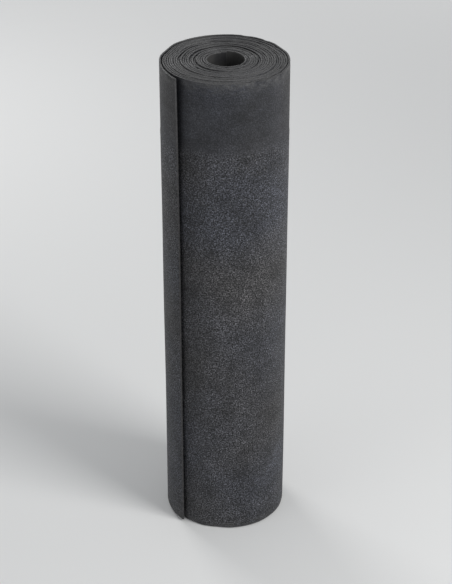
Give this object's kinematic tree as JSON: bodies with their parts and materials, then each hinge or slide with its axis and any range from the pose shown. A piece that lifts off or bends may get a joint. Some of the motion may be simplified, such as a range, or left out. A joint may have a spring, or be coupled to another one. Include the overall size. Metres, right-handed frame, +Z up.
{
  "type": "roll of roofing felt",
  "caption": "Coreless roll of black torch-on bitumen roofing felt, one sheet wound round an open bore, standing on its end ready to be laid on a flat roof.",
  "frame": {"origin": "on the bore's axis, at the lower end that the roll stands on", "axes": "+Z up along the bore's axis; the loose outer end of the sheet lies to the front left, between -X and -Y"},
  "size_m": [0.2419, 0.2418, 1],
  "materials": {
    "bitumen_felt": "matte, finely sanded black bitumen felt with smoother cut edges"
  },
  "bodies": {
    "root": {"felt_roll": "bitumen_felt"}
  },
  "joints": []
}
